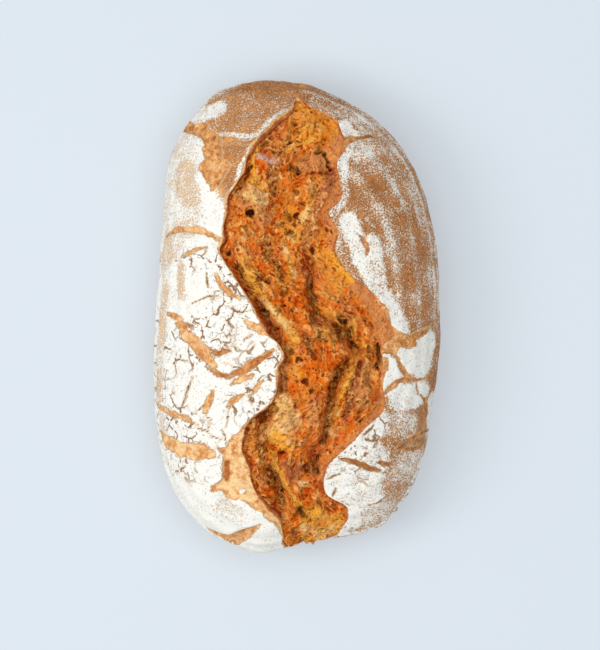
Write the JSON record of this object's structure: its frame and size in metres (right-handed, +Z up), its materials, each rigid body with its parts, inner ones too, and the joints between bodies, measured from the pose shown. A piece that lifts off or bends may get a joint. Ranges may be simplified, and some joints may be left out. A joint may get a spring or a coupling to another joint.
{
  "type": "spelt bread loaf",
  "caption": "Oval free-form spelt loaf with a floured, basket-ringed crust that has burst open lengthwise over rough torn crumb, on a flat base.",
  "frame": {"origin": "centre of the loaf's bounding box in plan, on the flat base", "axes": "+Z up from the base, +Y along the loaf towards the end where the burst narrows to a point, +X across it"},
  "size_m": [0.1454, 0.2404, 0.0745],
  "materials": {
    "baked_loaf": "matt baked crust dusted with white flour, with torn orange-brown crumb in the burst"
  },
  "bodies": {
    "root": {"loaf": "baked_loaf"}
  },
  "joints": []
}
